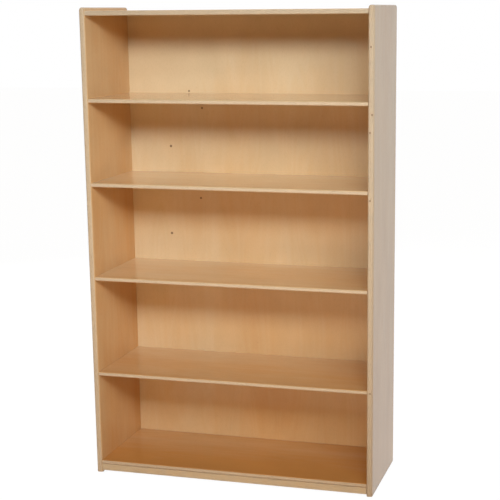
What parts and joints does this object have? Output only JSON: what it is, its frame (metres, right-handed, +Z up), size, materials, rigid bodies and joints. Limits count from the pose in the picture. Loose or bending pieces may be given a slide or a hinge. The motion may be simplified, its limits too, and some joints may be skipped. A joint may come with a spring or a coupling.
{
  "type": "bookshelf",
  "caption": "Tall open bookshelf in clear-finished birch plywood with fixed shelves housed in the sides, a full back, rounded edges, a low toe board and small glides.",
  "frame": {"origin": "on the floor, in the middle of the case's width and depth", "axes": "+Z up, +X to the right as seen from the front, and the open front faces -Y"},
  "size_m": [0.914, 0.343, 1.486],
  "materials": {
    "birch_plywood": "clear satin lacquer",
    "back_plywood": "clear satin lacquer",
    "solid_birch": "bare",
    "glide_plastic": "moulded",
    "staple_steel": "zinc plated"
  },
  "bodies": {
    "root": {"left_side": "birch_plywood", "right_side": "birch_plywood", "top_panel": "birch_plywood", "shelf_1": "birch_plywood", "shelf_2": "birch_plywood", "shelf_3": "birch_plywood", "shelf_4": "birch_plywood", "bottom_shelf": "birch_plywood", "toe_board": "birch_plywood", "rear_rail": "birch_plywood", "back_panel": "back_plywood", "toe_board_dowels": "solid_birch", "rear_rail_dowels": "solid_birch", "glue_blocks": "solid_birch", "glide_front_left": "glide_plastic", "glide_front_right": "glide_plastic", "glide_rear_left": "glide_plastic", "glide_rear_right": "glide_plastic", "back_staples_left": "staple_steel", "back_staples_right": "staple_steel", "back_staples_top": "staple_steel", "back_staples_shelves": "staple_steel", "back_staples_base": "staple_steel"}
  },
  "joints": []
}
